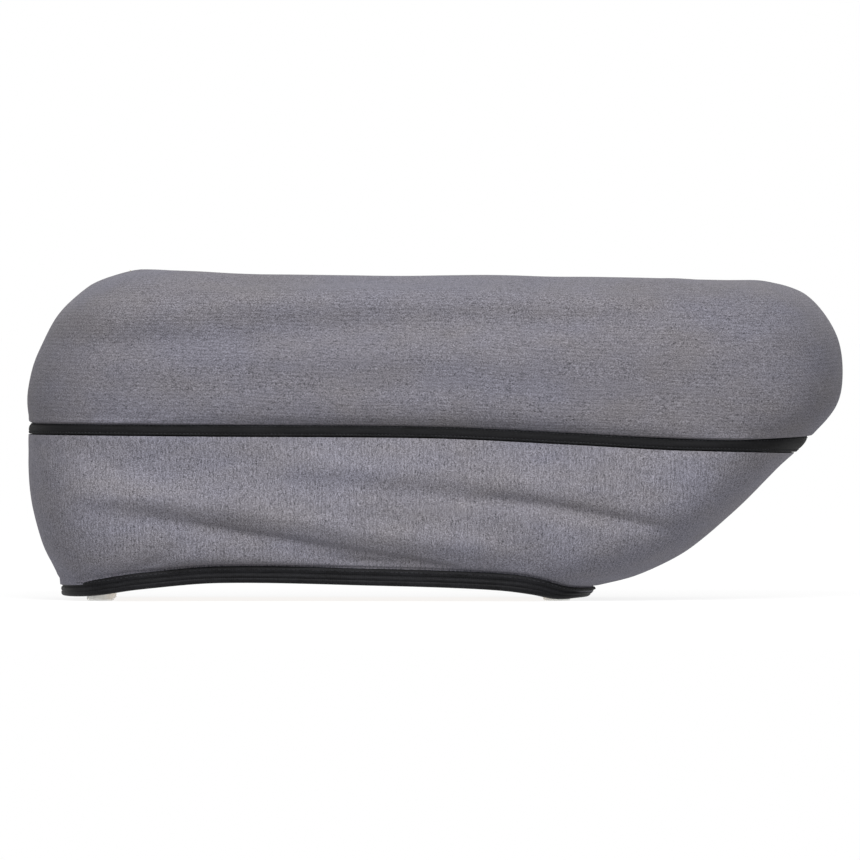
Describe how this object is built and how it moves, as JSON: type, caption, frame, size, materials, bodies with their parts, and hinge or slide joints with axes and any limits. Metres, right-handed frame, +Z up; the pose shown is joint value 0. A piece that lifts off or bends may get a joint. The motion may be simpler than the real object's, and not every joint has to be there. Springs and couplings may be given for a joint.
{
  "type": "padded wrist rest",
  "caption": "Long padded wrist and forearm rest: knit cover in two panels with a black seam tape and elastic hem, foam core, base board on soft feet, overhanging rounded nose.",
  "frame": {"origin": "on the table surface, below the middle of the whole rest's box", "axes": "+X along the rest towards the overhanging nose, +Y across it to the left of the nose, +Z up"},
  "size_m": [0.367, 0.1182, 0.1484],
  "materials": {
    "upper_knit": "heather grey stretch knit, grain along the rest",
    "skirt_knit": "heather grey stretch knit, grain upright",
    "tape": "black woven tape with a slight sheen",
    "binding": "black fold-over elastic, matt face with a smooth ridge",
    "thread": "black polyester sewing thread",
    "elastic": "white braided elastic, inside the binding",
    "comfort_foam": "cream open-cell foam",
    "support_foam": "grey firm foam",
    "board": "sanded birch plywood",
    "foot_silicone": "milky translucent silicone",
    "screw_steel": "zinc-plated"
  },
  "bodies": {
    "root": {"top_panel": "upper_knit", "skirt_panel": "skirt_knit", "seam_tape": "tape", "seam_thread_upper": "thread", "seam_thread_lower": "thread", "hem_binding": "binding", "hem_thread": "thread", "hem_elastic": "elastic", "comfort_foam": "comfort_foam", "support_foam": "support_foam", "base_board": "board", "foot_rear_left": "foot_silicone", "foot_rear_right": "foot_silicone", "foot_front_left": "foot_silicone", "foot_front_right": "foot_silicone", "foot_screw_rear_left": "screw_steel", "foot_screw_rear_right": "screw_steel", "foot_screw_front_left": "screw_steel", "foot_screw_front_right": "screw_steel"}
  },
  "joints": []
}
